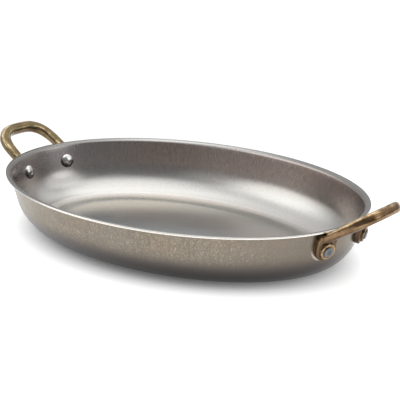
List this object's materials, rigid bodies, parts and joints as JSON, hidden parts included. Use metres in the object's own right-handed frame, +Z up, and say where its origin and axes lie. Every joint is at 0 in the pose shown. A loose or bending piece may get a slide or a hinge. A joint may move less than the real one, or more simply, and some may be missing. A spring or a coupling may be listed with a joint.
{
  "type": "oval serving dish",
  "caption": "Shallow oval pressed-steel serving dish with a flared lip and riveted brass loop handles at its ends.",
  "frame": {"origin": "on the table, under the middle of the flat base", "axes": "+X along the dish from handle to handle, +Y across it, +Z up"},
  "size_m": [0.425, 0.252, 0.0704],
  "materials": {
    "dish_steel": "tumbled satin steel",
    "handle_brass": "aged cast brass",
    "rivet_steel": "smooth steel"
  },
  "bodies": {
    "root": {"dish_shell": "dish_steel", "handle_right": "handle_brass", "handle_left": "handle_brass", "rivet_right_front": "rivet_steel", "rivet_right_back": "rivet_steel", "rivet_left_front": "rivet_steel", "rivet_left_back": "rivet_steel"}
  },
  "joints": []
}
